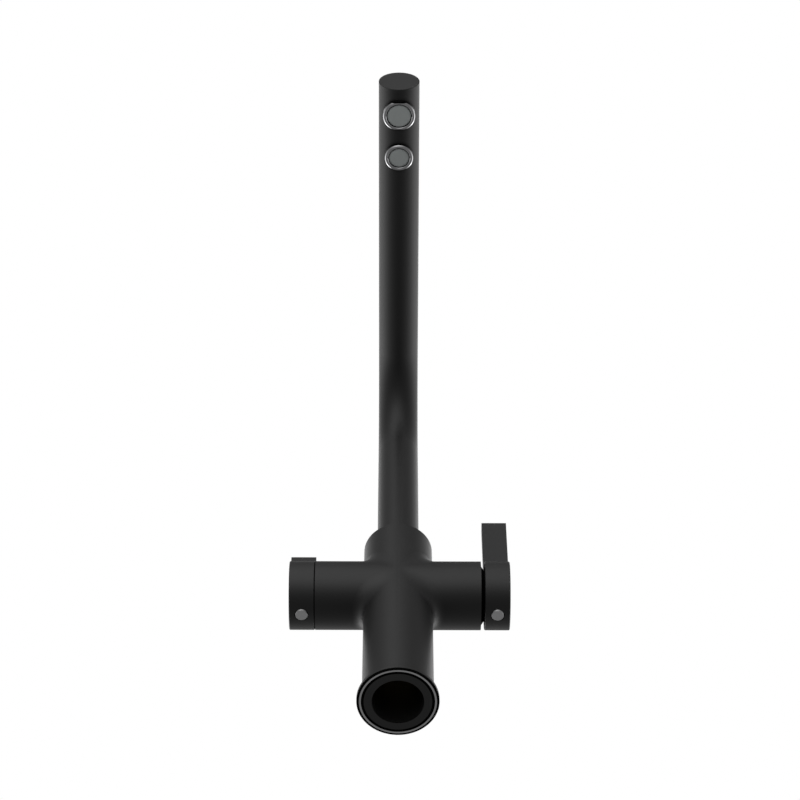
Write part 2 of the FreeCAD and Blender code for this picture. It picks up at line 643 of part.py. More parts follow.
# Spindle of the mixing lever
MIXER_KNOB = "arm_reach + mixer_gap"
MIXER_PLATE = f"{MIXER_KNOB} + knob_width - knob_plate"
SQUARE = "square_side / 2"
TIP_IN = f"{MOVING_OUT} + carrier_floor + 2 * free_gap"
spindle = new_body("mixer_spindle", "arm_height")
extrude(spindle, ring(new_sketch(spindle, "YZ_Plane", TIP_IN), "0", "0", "tip_od"), "tip_length + overcut")
blade = new_sketch(spindle, "YZ_Plane", f"{TIP_IN} + tip_length")
box_outline(blade, "-blade_width / 2", "blade_width / 2", f"-({SQUARE})", SQUARE)
extrude(spindle, blade, f"{TURRET_OUT} + overcut - ({TIP_IN}) - tip_length")
square = new_sketch(spindle, "YZ_Plane", f"{TURRET_OUT} + overcut")
box_outline(square, f"-({SQUARE})", SQUARE, f"-({SQUARE})", SQUARE)
extrude(spindle, square, f"{MIXER_PLATE} + square_tip - ({TURRET_OUT}) - overcut")
spindle_hole = ring(new_sketch(spindle, "XZ_Plane"), PIVOT, "0", "pivot_pin + 2 * run_gap")
extrude(spindle, spindle_hole, "square_side + overcut", cut=True, both=True)


def handle(label, start, lever_tip, about_turn=False):
    """Hollow knob with an inner boss and a flat lever that points up."""
    end = f"{start} + knob_width"
    plate = f"{end} - knob_plate"
    boss = f"{start} + boss_recess"
    middle_x = f"{start} + knob_width / 2"
    knob = turned_x(label, [
        (start, f"{ARM_R} - knob_rim"),
        (start, f"{ARM_R} - soft_edge"),
        (f"{start} + soft_edge", ARM_R),
        (f"{end} - soft_edge", ARM_R),
        (end, f"{ARM_R} - soft_edge"),
        (end, "0"),
        (boss, "0"),
        (boss, "boss_od / 2"),
        (plate, "boss_od / 2"),
        (plate, f"{ARM_R} - knob_rim"),
    ], about_turn)
    lever = new_sketch(knob, "XZ_Plane")
    box_outline(lever, start, end, f"{ARM_R} - lever_root", lever_tip)
    extrude(knob, lever, "lever_thickness", both=True)
    below_tip = number(f"{lever_tip} - soft_edge")
    round_edges(knob, "lever_round", lambda edge: edge.BoundBox.ZMin > below_tip)
    square_hole = new_sketch(knob, "YZ_Plane", boss)
    side = f"{SQUARE} + run_gap"
    box_outline(square_hole, f"-({side})", side, f"-({side})", side)
    extrude(knob, square_hole, f"{plate} + square_tip + run_gap - ({boss})", cut=True, back=True)
    screw_hole = ring(new_sketch(knob, "XY_Plane"), middle_x, "0", "set_screw + 2 * fit_gap")
    extrude(knob, screw_hole, f"{ARM_R} + overcut", cut=True)
    plug_seat = new_sketch(knob, "XY_Plane", f"plug_height - plug_proud - {ARM_R}")
    ring(plug_seat, middle_x, "0", "plug_od + 2 * fit_gap")
    extrude(knob, plug_seat, "plug_height + overcut", cut=True)
    return middle_x


def hexagon_socket(body, plane, lift, depth, back=False):
    extrude(body, hexagon(new_sketch(body, plane, lift), "set_socket"), depth, cut=True, back=back)


def knob_screw(label, side, middle_x):
    """Set screw in the boss of a knob, its socket facing down."""
    body = turned_z(label, [
        ("0", f"-({SQUARE}) - set_length"),
        ("set_screw / 2", f"-({SQUARE}) - set_length"),
        ("set_screw / 2", f"-({SQUARE})"),
        ("0", f"-({SQUARE})"),
    ], "arm_height")
    body.setExpression("Placement.Base.x", bound(f"{side}({middle_x})"))
    hexagon_socket(body, "XY_Plane", f"-({SQUARE}) - set_length", "set_socket", back=True)


def screw_plug(label, side, middle_x):
    """Metal plug that covers the screw hole under a knob."""
    low = f"-({ARM_R}) - plug_proud"
    body = turned_z(label, [
        ("0", low),
        ("plug_od / 2 - plug_chamfer", low),
        ("plug_od / 2", f"{low} + plug_chamfer"),
        ("plug_od / 2", f"{low} + plug_height"),
        ("0", f"{low} + plug_height"),
    ], "arm_height")
    body.setExpression("Placement.Base.x", bound(f"{side}({middle_x})"))


mixer_middle = handle("mixer_handle", MIXER_KNOB, "mixer_lever")
knob_screw("mixer_set_screw", "", mixer_middle)
screw_plug("mixer_screw_plug", "", mixer_middle)

# Selector valve in the left arm
port_disc("selector_seal", "valve_od", VALVE_FLOOR, "seal_height", "valve_pitch", True)
fixed_disc_od = "valve_chamber - 2 * fit_gap"
port_disc("selector_fixed_disc", fixed_disc_od, VALVE_SEAL_OUT, "fixed_height", "valve_pitch", True)
selector_housing = turned_x("selector_housing", [
    (VALVE_SEAL_OUT, "valve_chamber / 2"),
    (VALVE_SEAL_OUT, "valve_od / 2"),
    (HEX_IN, "valve_od / 2"),
    (f"{HEX_IN} + hex_height", "valve_od / 2"),
    (f"{HEX_IN} + hex_height", "valve_neck / 2"),
    (f"{SELECTOR_BOSS} - neck_gap", "valve_neck / 2"),
    (f"{SELECTOR_BOSS} - neck_gap", "valve_shaft / 2 + run_gap"),
    (VALVE_ROOF, "valve_shaft / 2 + run_gap"),
    (VALVE_ROOF, "valve_chamber / 2"),
], True)
hex_sketch = hexagon(new_sketch(selector_housing, "YZ_Plane", HEX_IN), "hex_flats")
ring(hex_sketch, "0", "0", "valve_neck")
extrude(selector_housing, hex_sketch, "hex_height")
selector_moving = new_body("selector_moving_disc", "arm_height", True)
moving_sketch = ring(new_sketch(selector_moving, "YZ_Plane", VALVE_MOVING_IN), "0", "0", "valve_disc")
extrude(selector_moving, moving_sketch, "moving_height")
moving_slot = new_sketch(selector_moving, "YZ_Plane", VALVE_MOVING_IN)
ring(moving_slot, "0", "passage_od / 2", "2 * passage_od")
extrude(selector_moving, moving_slot, "moving_height / 2", cut=True, back=True)
selector_spindle = turned_x("selector_spindle", [
    (VALVE_MOVING_OUT, "0"),
    (VALVE_MOVING_OUT, "valve_disc / 2"),
    (VALVE_FLANGE_OUT, "valve_disc / 2"),
    (VALVE_FLANGE_OUT, "valve_shaft / 2"),
    (SELECTOR_BOSS, "valve_shaft / 2"),
    (SELECTOR_BOSS, "0"),
], True)
selector_square = new_sketch(selector_spindle, "YZ_Plane", SELECTOR_BOSS)
box_outline(selector_square, f"-({SQUARE})", SQUARE, f"-({SQUARE})", SQUARE)
extrude(selector_spindle, selector_square, "knob_width - knob_plate + square_tip - boss_recess")
turned_x("selector_slide_ring", [
    (SLIDE_IN, "hex_space / 2"),
    (SLIDE_IN, "slide_od / 2"),
    ("arm_reach + selector_gap - run_gap", "slide_od / 2"),
    ("arm_reach + selector_gap - run_gap", "hex_space / 2"),
], True)
selector_middle = handle("selector_handle", "arm_reach + selector_gap", "selector_lever", True)
knob_screw("selector_set_screw", "-", selector_middle)
screw_plug("selector_screw_plug", "-", selector_middle)

# Swivel of the spout in the top of the column
turned_z("swivel_bush", [
    (f"{TUBE_R} + run_gap", BUSH_SEAT),
    ("bush_od / 2", BUSH_SEAT),
    ("bush_od / 2", "body_height - bush_drop"),
    (f"{TUBE_R} + run_gap", "body_height - bush_drop"),
])
THRUST_TOP = f"{SWIVEL_FLOOR} + thrust_height"
turned_z("thrust_washer", [
    (f"{SWIVEL_R} - thrust_width", SWIVEL_FLOOR),
    (SWIVEL_R, SWIVEL_FLOOR),
    (SWIVEL_R, THRUST_TOP),
    (f"{SWIVEL_R} - thrust_width", THRUST_TOP),
])
SHANK_R = f"{SWIVEL_R} - run_gap"
TUBE_LOW = "body_height - tube_insert"
RING_FLOOR = f"{SWIVEL_R} - fit_gap - seal_section"
RING_HALF = "seal_section / 2 + seal_float / 2"
shank = turned_z("spout_shank", [
    ("shank_bore / 2", f"{THRUST_TOP} + run_gap"),
    (SHANK_R, f"{THRUST_TOP} + run_gap"),
    (SHANK_R, TUBE_LOW),
    (f"{TUBE_R} - tube_wall - fit_gap", TUBE_LOW),
    (f"{TUBE_R} - tube_wall - fit_gap", f"{TUBE_LOW} + shank_spigot"),
    ("shank_bore / 2", f"{TUBE_LOW} + shank_spigot"),
])
for name, level in (("lower", "low_ring"), ("upper", "high_ring")):
    height = f"{SWIVEL_FLOOR} + {level}"
    ring_groove = [
        (RING_FLOOR, f"{height} - ({RING_HALF})"),
        (f"{SHANK_R} + overcut", f"{height} - ({RING_HALF})"),
        (f"{SHANK_R} + overcut", f"{height} + {RING_HALF}"),
        (RING_FLOOR, f"{height} + {RING_HALF}"),
    ]
    cut_turn(shank, ring_groove, "V_Axis")
    sealing_ring(f"spout_seal_{name}", f"{RING_FLOOR} + seal_section / 2", "seal_section", height)
STOP_Z = f"{SWIVEL_FLOOR} + stop_height"
STOP_HALF = "stop_screw / 2 + free_gap"
stop_sketch = new_sketch(shank, "YZ_Plane")
stop_points = [
    (f"{SHANK_R} - stop_depth", f"{STOP_Z} - ({STOP_HALF})"),
    (f"{SHANK_R} + overcut", f"{STOP_Z} - ({STOP_HALF})"),
    (f"{SHANK_R} + overcut", f"{STOP_Z} + {STOP_HALF}"),
    (f"{SHANK_R} - stop_depth", f"{STOP_Z} + {STOP_HALF}"),
]
revolve(shank, outline(stop_sketch, stop_points), "V_Axis", cut=True, angle="stop_turn")
STOP_TIP = f"{SHANK_R} - stop_depth + free_gap"
stop = new_body("spout_stop_screw", STOP_Z)
stop_round = ring(new_sketch(stop, "XZ_Plane", f"-({STOP_TIP})"), "0", "0", "stop_screw - 2 * fit_gap")
extrude(stop, stop_round, f"{COLUMN_R} - stop_sink - ({STOP_TIP})", back=True)
hexagon_socket(stop, "XZ_Plane", f"stop_sink - {COLUMN_R}", "set_socket", back=True)


def bent_run(body, outer, wall, low, end):
    """Tube that rises from low, bends forward and ends at y = -end."""
    turn_z = "spout_height - bend_radius"
    start_circle = new_sketch(body, "XY_Plane", low)
    ring(start_circle, "0", "0", outer)
    ring(start_circle, "0", "0", f"{outer} - 2 * {wall}")
    path = new_sketch(body, "YZ_Plane")
    low_point = V(0, number(low), 0)
    turn_point = corner(("0", turn_z))
    centre = corner(("-bend_radius", turn_z))
    level_point = corner(("-bend_radius", "spout_height"))
    end_point = corner((f"-({end})", "spout_height"))
    path.addGeometry(Part.LineSegment(low_point, turn_point), False)
    quarter = Part.Circle(centre, UP, number("bend_radius"))
    path.addGeometry(Part.ArcOfCircle(quarter, 0, math.pi / 2), False)
    path.addGeometry(Part.LineSegment(level_point, end_point), False)
    path.addConstraint(Sketcher.Constraint("Coincident", 0, 2, 1, 1))
    path.addConstraint(Sketcher.Constraint("Coincident", 1, 2, 2, 1))
    pin(path, 0, 1, "0", low)
    pin(path, 0, 2, "0", turn_z)
    pin(path, 1, 3, "-bend_radius", turn_z)
    pin(path, 2, 1, "-bend_radius", None)
    pin(path, 2, 2, f"-({end})", "spout_height")
    sweep = body.newObject("PartDesign::AdditivePipe", body.Name + "_sweep")
    sweep.Profile = start_circle
    sweep.Spine = path
    body.Tip = sweep


# Spout tube with the openings of both outlets
tube = new_body("spout_tube")
bent_run(tube, "tube_od", "tube_wall", TUBE_LOW, "spout_reach - cap_plate")
holes = new_sketch(tube, "XY_Plane", "spout_height")
FRONT_SOCKET = "front_ring_od - sleeve_step + 2 * socket_wall"
REAR_SOCKET = "rear_ring_od - sleeve_step + 2 * socket_wall"
ring(holes, "0", "-front_outlet", f"{FRONT_SOCKET} + 2 * fit_gap")
ring(holes, "0", "-rear_outlet", f"{REAR_SOCKET} + 2 * fit_gap")
extrude(tube, holes, f"{TUBE_R} + overcut", cut=True)
cap = new_body("spout_end_cap", "spout_height")
cap_points = [
    ("-spout_reach", "0"),
    ("-spout_reach", f"{TUBE_R} - soft_edge / 2"),
    ("-spout_reach + soft_edge / 2", TUBE_R),
    ("-spout_reach + cap_plate", TUBE_R),
    ("-spout_reach + cap_plate", f"{TUBE_R} - tube_wall - fit_gap"),
    ("-spout_reach + cap_plate + cap_spigot", f"{TUBE_R} - tube_wall - fit_gap"),
    ("-spout_reach + cap_plate + cap_spigot", "0"),
]
revolve(cap, outline(new_sketch(cap, "YZ_Plane"), cap_points), "H_Axis")
line = new_body("treated_water_line")
LINE_END = f"rear_outlet - ({REAR_SOCKET}) / 2 + line_seat"
bent_run(line, "line_od", "line_wall", f"{SWIVEL_FLOOR} + line_lift", LINE_END)

# Outlets: socket fixed in the tube, aerator housing screwed in, insert and washer
TUBE_UNDER = f"spout_height - {TUBE_R}"
RING_FACE = f"{TUBE_UNDER} - ring_drop"
RING_TOP = f"{RING_FACE} + ring_plate"
SLEEVE_TOP = f"{RING_TOP} + sleeve_length"
LIP_TOP = f"{RING_FACE} + lip_height"
INSERT_TOP = f"{RING_FACE} + disc_recess + insert_height"
WASHER_TOP = f"{INSERT_TOP} + washer_height"


def set_forward(body, distance):
    body.setExpression("Placement.Base.y", bound(f"-{distance}"))


def aerator(name, ring_od, lip, disc, distance):
    """Housing, insert and washer of one outlet."""
    sleeve = f"({ring_od} - sleeve_step) / 2"
    pocket = f"{sleeve} - sleeve_wall"
    housing = turned_z(f"{name}_aerator_housing", [
        (f"{lip} / 2", f"{RING_FACE} + ring_chamfer / 2"),
        (f"{lip} / 2 + ring_chamfer / 2", RING_FACE),
        (f"{ring_od} / 2 - ring_chamfer", RING_FACE),
        (f"{ring_od} / 2", f"{RING_FACE} + ring_chamfer"),
        (f"{ring_od} / 2", RING_TOP),
        (f"{sleeve} - fit_gap", RING_TOP),
        (f"{sleeve} - fit_gap", SLEEVE_TOP),
        (pocket, SLEEVE_TOP),
        (pocket, LIP_TOP),
        (f"{lip} / 2", LIP_TOP),
    ])
    insert = turned_z(f"{name}_aerator_insert", [
        ("0", f"{RING_FACE} + disc_recess"),
        (f"{disc} / 2", f"{RING_FACE} + disc_recess"),
        (f"{disc} / 2", LIP_TOP),
        (f"{pocket} - fit_gap", LIP_TOP),
        (f"{pocket} - fit_gap", INSERT_TOP),
        ("0", INSERT_TOP),
    ])
    washer = turned_z(f"{name}_aerator_washer", [
        (f"{pocket} - washer_width", INSERT_TOP),
        (f"{pocket} - fit_gap", INSERT_TOP),
        (f"{pocket} - fit_gap", WASHER_TOP),
        (f"{pocket} - washer_width", WASHER_TOP),
    ])
    for piece in (housing, insert, washer):
        set_forward(piece, distance)
    return housing


front_housing = aerator("front", "front_ring_od", "front_lip", "front_disc", "front_outlet")
flats = new_sketch(front_housing, "XY_Plane", RING_TOP)
FLAT = "front_ring_od / 2 - flat_depth"
flat_outside = f"{FLAT} + flat_depth + overcut"
for low, high in ((FLAT, flat_outside), (f"-({flat_outside})", f"-({FLAT})")):
    box_outline(flats, "-front_ring_od", "front_ring_od", low, high)
extrude(front_housing, flats, "ring_plate + overcut", cut=True)
aerator("rear", "rear_ring_od", "rear_lip", "rear_disc", "rear_outlet")
front_socket = turned_z("front_outlet_socket", [
    ("(front_ring_od - sleeve_step) / 2", RING_TOP),
    (f"({FRONT_SOCKET}) / 2", RING_TOP),
    (f"({FRONT_SOCKET}) / 2", f"{SLEEVE_TOP} + washer_height"),
    ("(front_ring_od - sleeve_step) / 2", f"{SLEEVE_TOP} + washer_height"),
])
set_forward(front_socket, "front_outlet")
CUP_TOP = f"{TUBE_UNDER} + cup_height"
rear_socket = turned_z("rear_outlet_socket", [
    ("(rear_ring_od - sleeve_step) / 2", RING_TOP),
    (f"({REAR_SOCKET}) / 2", RING_TOP),
    (f"({REAR_SOCKET}) / 2", CUP_TOP),
    ("0", CUP_TOP),
    ("0", f"{CUP_TOP} - cup_roof"),
    ("cup_bore / 2", f"{CUP_TOP} - cup_roof"),
    ("cup_bore / 2", WASHER_TOP),
    ("(rear_ring_od - sleeve_step) / 2", WASHER_TOP),
])
line_seat = new_sketch(rear_socket, "XZ_Plane", f"line_seat - ({REAR_SOCKET}) / 2")
ring(line_seat, "0", "spout_height", "line_od + 2 * fit_gap")
extrude(rear_socket, line_seat, "line_seat + overcut", cut=True)
line_way = ring(new_sketch(rear_socket, "XZ_Plane"), "0", "spout_height", "passage_od")
extrude(rear_socket, line_way, f"({REAR_SOCKET}) / 2 + overcut", cut=True)
set_forward(rear_socket, "rear_outlet")

doc.recompute()
for item in doc.Objects:
    if "Invalid" in item.State or "Error" in item.State:
        raise RuntimeError(f"{item.Label}: {item.State}")
os.makedirs("parts", exist_ok=True)
pieces = [body for body in doc.findObjects("PartDesign::Body") if body is not blank]
for body in pieces:
    shape = body.Shape
    if shape.isNull() or not shape.isValid() or len(shape.Solids) != 1:
        raise RuntimeError(f"{body.Label}: bad solid")
    shape.exportStep(f"parts/{body.Label}.step")
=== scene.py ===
"""Looks of the multi-way kitchen tap: finishes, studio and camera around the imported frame."""
import json
import math

import bpy
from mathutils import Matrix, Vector

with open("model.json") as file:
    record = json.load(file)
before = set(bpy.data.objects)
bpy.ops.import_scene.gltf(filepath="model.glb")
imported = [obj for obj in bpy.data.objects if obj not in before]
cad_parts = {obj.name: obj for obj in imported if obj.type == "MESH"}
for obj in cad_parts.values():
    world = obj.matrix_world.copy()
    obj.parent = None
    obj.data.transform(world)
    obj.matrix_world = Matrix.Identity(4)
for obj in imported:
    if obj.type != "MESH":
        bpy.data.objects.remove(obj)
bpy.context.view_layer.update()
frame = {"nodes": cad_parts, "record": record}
scene = bpy.context.scene

# Units in metres
MILLIMETRE = 0.001
MICRON = 0.000001

# Camera of the photograph, in front of the tap and below it, with angles in degrees
PHOTO_PIXELS = 800
FOCAL_PIXELS = 3083
SENSOR_MM = 36.0
AIM = Vector((0.00105, -0.1002, 0.2118))
CAMERA_DISTANCE = 2.1184
CAMERA_AZIMUTH = -0.16
CAMERA_ELEVATION = -59.11

# Studio, as strengths of the world
WHITE = (1.0, 1.0, 1.0, 1.0)
BACKDROP = 1.0
ROOM_LIGHT = 0.184

# Soft lamps: azimuth from the front to the right, elevation and half width in degrees, strength
SOFT_LAMPS = (
    # Wide lamps beside and behind the tap
    (-125, 13, 29, 1.55),
    (118, 15, 29, 1.59),
    # Level lamp and raised lamp in front
    (-9, -2, 22, 1.85),
    (-13, 38, 17, 1.30),
    # High lamps behind, for the light edges of the column and the spout
    (-145, 57, 10, 1.64),
    (145, 57, 10, 2.1),
    # Small lamps behind, for the glints on the chromed rings
    (-148, 17, 9, 2.6),
    (144, 14, 8, 2.6),
)

# Lamp over the floor
TOP_LAMP_PLACE = Vector((0.5, -0.6, 2.4))
TOP_LAMP_WIDTH = 1.4
TOP_LAMP_WATTS = 40

# Floor
FLOOR_RADIUS = 2.6
FLOOR_FADE = 1.2
FLOOR_DROP = 0.2 * MILLIMETRE
FLOOR_SIDES = 128
FLOOR_COLOUR = (0.82, 0.82, 0.81)
FLOOR_SPREAD = 0.01
FLOOR_PATCH = 0.15
FLOOR_ROUGHNESS = 0.9
FLOOR_GLOSS = 0.1

# All finishes: the used part of a noise, its detail and its stretch along the axes, and the gloss in the open
NOISE_SPAN = (0.3, 0.7)
NOISE_DETAIL = 3.0
EVEN = (1.0, 1.0, 1.0)
TURNED = (1.0, 1.0, 14.0)
TONE_PATCH = 24 * MILLIMETRE
GLOSS = 0.5

# Painted shade in grooves: how far their walls are looked for, and the shares of open sky over which colour
# and gloss are darkened
GROOVE_SHADE_REACH = 1.6 * MILLIMETRE
GROOVE_SHADE_COVER = (0.62, 0.98)
COVER_SAMPLES = 8

# Powder coat
PAINT_COLOUR = (0.004, 0.004, 0.0041)
PAINT_SPREAD = 0.12
PAINT_PATCH = 30 * MILLIMETRE
PAINT_ROUGHNESS = (0.46, 0.54)
PAINT_GRAIN = 0.22 * MILLIMETRE
PAINT_RELIEF = 4 * MICRON
PEEL_SIZE = 2.2 * MILLIMETRE
PEEL_DETAIL = 1.0
PEEL_RELIEF = 6 * MICRON
# Painted shade on the coat: its gloss falls in grooves, and is gone on the rim of the foot at this height
PAINT_GROOVE_SHADE_REACH = 3 * MILLIMETRE
PAINT_GROOVE_SHADE_COVER = (0.56, 0.97)
SHADED_RIM_HEIGHT = 0.4 * MILLIMETRE
SHADED_RIM_HALF = 0.25 * MILLIMETRE

# Woven screen; a wave texture of scale one has this length
WAVE_LENGTH = math.pi / 10
SCREEN_PITCH = 0.45 * MILLIMETRE
# Colours of the cloth: the holes carry painted shade
SCREEN_HOLE_SHADE = (0.283, 0.3, 0.296)
SCREEN_WIRE = (0.74, 0.785, 0.775)
SCREEN_ROUGHNESS = (0.36, 0.48)
SCREEN_RELIEF = 20 * MICRON
# Shares of open sky over which the screen gets painted shade near its walls
SCREEN_SHADE_COVER = (0.93, 0.995)


def finish_material(name):
    """A new node material with its tree and its principled shader."""
    material = bpy.data.materials.new(name)
    material.use_nodes = True
    tree = material.node_tree
    return material, tree, tree.nodes["Principled BSDF"]


def add_math(tree, operation, kind="ShaderNodeMath"):
    """A math node that does one operation."""
    node = tree.nodes.new(kind)
    node.operation = operation
    return node


def add_noise(tree, grain, stretch=EVEN, detail=NOISE_DETAIL):
    """Noise with a feature size in metres, along the frame's own axes."""
    place = tree.nodes.new("ShaderNodeTexCoord")
    mapping = tree.nodes.new("ShaderNodeMapping")
    mapping.inputs["Scale"].default_value = stretch
    noise = tree.nodes.new("ShaderNodeTexNoise")
    noise.inputs["Scale"].default_value = 1.0 / grain
    noise.inputs["Detail"].default_value = detail
    tree.links.new(place.outputs["Object"], mapping.inputs["Vector"])
    tree.links.new(mapping.outputs["Vector"], noise.inputs["Vector"])
    return noise.outputs["Fac"]


def add_ramp(tree, source, low, high):
    """Two colours spread over the used part of a noise."""
    ramp = tree.nodes.new("ShaderNodeValToRGB")
    for element, position, colour in zip(ramp.color_ramp.elements, NOISE_SPAN, (low, high)):
        element.position = position
        element.color = (*colour, 1.0)
    tree.links.new(source, ramp.inputs["Fac"])
    return ramp.outputs["Color"]


def add_range(tree, source, low, high, span=NOISE_SPAN):
    """A number that runs from low to high while its source runs over a span."""
    spread = tree.nodes.new("ShaderNodeMapRange")
    spread.inputs["From Min"].default_value = span[0]
    spread.inputs["From Max"].default_value = span[1]
    spread.inputs["To Min"].default_value = low
    spread.inputs["To Max"].default_value = high
    tree.links.new(source, spread.inputs["Value"])
    return spread.outputs["Result"]


def add_cover(tree, reach, span, high=1.0):
    """A number that is high in the open and falls to nothing where walls stand within reach; it paints shade
    into grooves.
    """
    cover = tree.nodes.new("ShaderNodeAmbientOcclusion")
    cover.samples = COVER_SAMPLES
    cover.inputs["Distance"].default_value = reach
    return add_range(tree, cover.outputs["AO"], 0.0, high, span)


def add_scale(tree, colour, amount):
    """A colour made darker by a number."""
    scale = add_math(tree, "SCALE", "ShaderNodeVectorMath")
    tree.links.new(colour, scale.inputs[0])
    tree.links.new(amount, scale.inputs["Scale"])
    return scale.outputs["Vector"]


def add_bump(tree, source, height, below=None):
    """Relief of a given height in metres, on top of a coarser relief if there is one."""
    bump = tree.nodes.new("ShaderNodeBump")
    bump.inputs["Distance"].default_value = height
    tree.links.new(source, bump.inputs["Height"])
    if below:
        tree.links.new(below, bump.inputs["Normal"])
    return bump.outputs["Normal"]


def shade(colour, spread):
    """A darker and a lighter tone around a colour."""
    low = tuple(c * (1.0 - spread) for c in colour)
    high = tuple(c * (1.0 + spread) for c in colour)
    return low, high


def grained(name, colour, spread, roughness, grain, relief, metallic=0.0, stretch=EVEN):
    """A finish with uneven tone, uneven gloss, a fine relief, and painted shade that darkens its colour and
    gloss in grooves.
    """
    material, tree, shader = finish_material(name)
    tone = add_ramp(tree, add_noise(tree, TONE_PATCH), *shade(colour, spread))
    fine = add_noise(tree, grain, stretch)
    # Painted shade: colour and gloss darken in grooves
    groove_shade = add_cover(tree, GROOVE_SHADE_REACH, GROOVE_SHADE_COVER)
    gloss = add_cover(tree, GROOVE_SHADE_REACH, GROOVE_SHADE_COVER, GLOSS)
    tree.links.new(add_scale(tree, tone, groove_shade), shader.inputs["Base Color"])
    tree.links.new(add_range(tree, fine, *roughness), shader.inputs["Roughness"])
    tree.links.new(add_bump(tree, fine, relief), shader.inputs["Normal"])
    tree.links.new(gloss, shader.inputs["Specular IOR Level"])
    shader.inputs["Metallic"].default_value = metallic
    return material


def add_paint_gloss_and_shade(tree):
    """Gloss of the powder coat, with painted shade: less in its grooves, none on the rim of the foot, so both
    show dark.
    """
    place = tree.nodes.new("ShaderNodeTexCoord")
    height = tree.nodes.new("ShaderNodeSeparateXYZ")
    rim = add_math(tree, "COMPARE")
    rim.inputs[1].default_value = SHADED_RIM_HEIGHT
    rim.inputs[2].default_value = SHADED_RIM_HALF
    gloss = add_math(tree, "MULTIPLY_ADD")
    gloss.use_clamp = True
    gloss.inputs[1].default_value = -GLOSS
    cover = add_cover(tree, PAINT_GROOVE_SHADE_REACH, PAINT_GROOVE_SHADE_COVER, GLOSS)
    tree.links.new(place.outputs["Object"], height.inputs["Vector"])
    tree.links.new(height.outputs["Z"], rim.inputs[0])
    tree.links.new(rim.outputs["Value"], gloss.inputs[0])
    tree.links.new(cover, gloss.inputs[2])
    return gloss.outputs["Value"]


def powder_coat():
    """Matte black powder coat: a fine sandy grain over a faint orange peel."""
    material, tree, shader = finish_material("powder_coat")
    tone = add_noise(tree, PAINT_PATCH)
    peel = add_noise(tree, PEEL_SIZE, detail=PEEL_DETAIL)
    grain = add_noise(tree, PAINT_GRAIN)
    waves = add_bump(tree, peel, PEEL_RELIEF)
    tree.links.new(add_ramp(tree, tone, *shade(PAINT_COLOUR, PAINT_SPREAD)), shader.inputs["Base Color"])
    tree.links.new(add_range(tree, grain, *PAINT_ROUGHNESS), shader.inputs["Roughness"])
    tree.links.new(add_bump(tree, grain, PAINT_RELIEF, waves), shader.inputs["Normal"])
    # Gloss with painted shade in grooves and on the rim of the foot
    tree.links.new(add_paint_gloss_and_shade(tree), shader.inputs["Specular IOR Level"])
    return material


def woven_screen():
    """Fine steel cloth: wires both ways, with painted shade in the holes between them and near the walls
    round it.
    """
    material, tree, shader = finish_material("woven_screen")
    place = tree.nodes.new("ShaderNodeTexCoord")
    cloth = add_math(tree, "MAXIMUM")
    for socket, direction in zip(cloth.inputs, "XY"):
        wires = tree.nodes.new("ShaderNodeTexWave")
        wires.bands_direction = direction
        wires.inputs["Scale"].default_value = WAVE_LENGTH / SCREEN_PITCH
        tree.links.new(place.outputs["Object"], wires.inputs["Vector"])
        tree.links.new(wires.outputs["Fac"], socket)
    weave = cloth.outputs["Value"]
    tone = add_ramp(tree, weave, SCREEN_HOLE_SHADE, SCREEN_WIRE)
    # Painted shade near the walls round the screen
    groove_shade = add_cover(tree, GROOVE_SHADE_REACH, SCREEN_SHADE_COVER)
    dull = add_range(tree, add_noise(tree, SCREEN_PITCH), *SCREEN_ROUGHNESS)
    tree.links.new(add_scale(tree, tone, groove_shade), shader.inputs["Base Color"])
    tree.links.new(dull, shader.inputs["Roughness"])
    tree.links.new(add_bump(tree, weave, SCREEN_RELIEF), shader.inputs["Normal"])
    shader.inputs["Metallic"].default_value = 1.0
    return material


def make_finishes():
    """The finish of each material slot of the record."""
    return {
        "black_paint": powder_coat(),
        "chrome": grained("chrome_plate", colour=(0.5, 0.5, 0.51), spread=0.02, roughness=(0.08, 0.14),
                          grain=0.9 * MILLIMETRE, relief=1 * MICRON, metallic=1.0),
        "steel": grained("satin_steel", colour=(0.58, 0.58, 0.585), spread=0.06, roughness=(0.26, 0.38),
                         grain=0.12 * MILLIMETRE, relief=2 * MICRON, metallic=1.0),
        "steel_screen": woven_screen(),
        "brass": grained("turned_brass", colour=(0.62, 0.46, 0.20), spread=0.08, roughness=(0.24, 0.36),
                         grain=0.5 * MILLIMETRE, relief=4 * MICRON, metallic=1.0, stretch=TURNED),
        "rubber": grained("seal_rubber", colour=(0.015, 0.015, 0.016), spread=0.2, roughness=(0.6, 0.75),
                          grain=0.3 * MILLIMETRE, relief=10 * MICRON),
        "ceramic": grained("lapped_ceramic", colour=(0.82, 0.81, 0.77), spread=0.03, roughness=(0.12, 0.2),
                           grain=0.15 * MILLIMETRE, relief=1 * MICRON),
        "white_plastic": grained("white_acetal", colour=(0.75, 0.75, 0.73), spread=0.03,
                                 roughness=(0.4, 0.5), grain=0.3 * MILLIMETRE, relief=4 * MICRON),
        "black_plastic": grained("black_acetal", colour=(0.02, 0.02, 0.021), spread=0.15,
                                 roughness=(0.4, 0.5), grain=0.3 * MILLIMETRE, relief=4 * MICRON),
    }


def dress_nodes():
    """Each node takes the finish of its slot in the record."""
    finishes = make_finishes()
    for row in frame["record"]["subparts"]:
        materials = frame["nodes"][row["node"]].data.materials
        materials.clear()
        materials.append(finishes[row["material_slot"]])


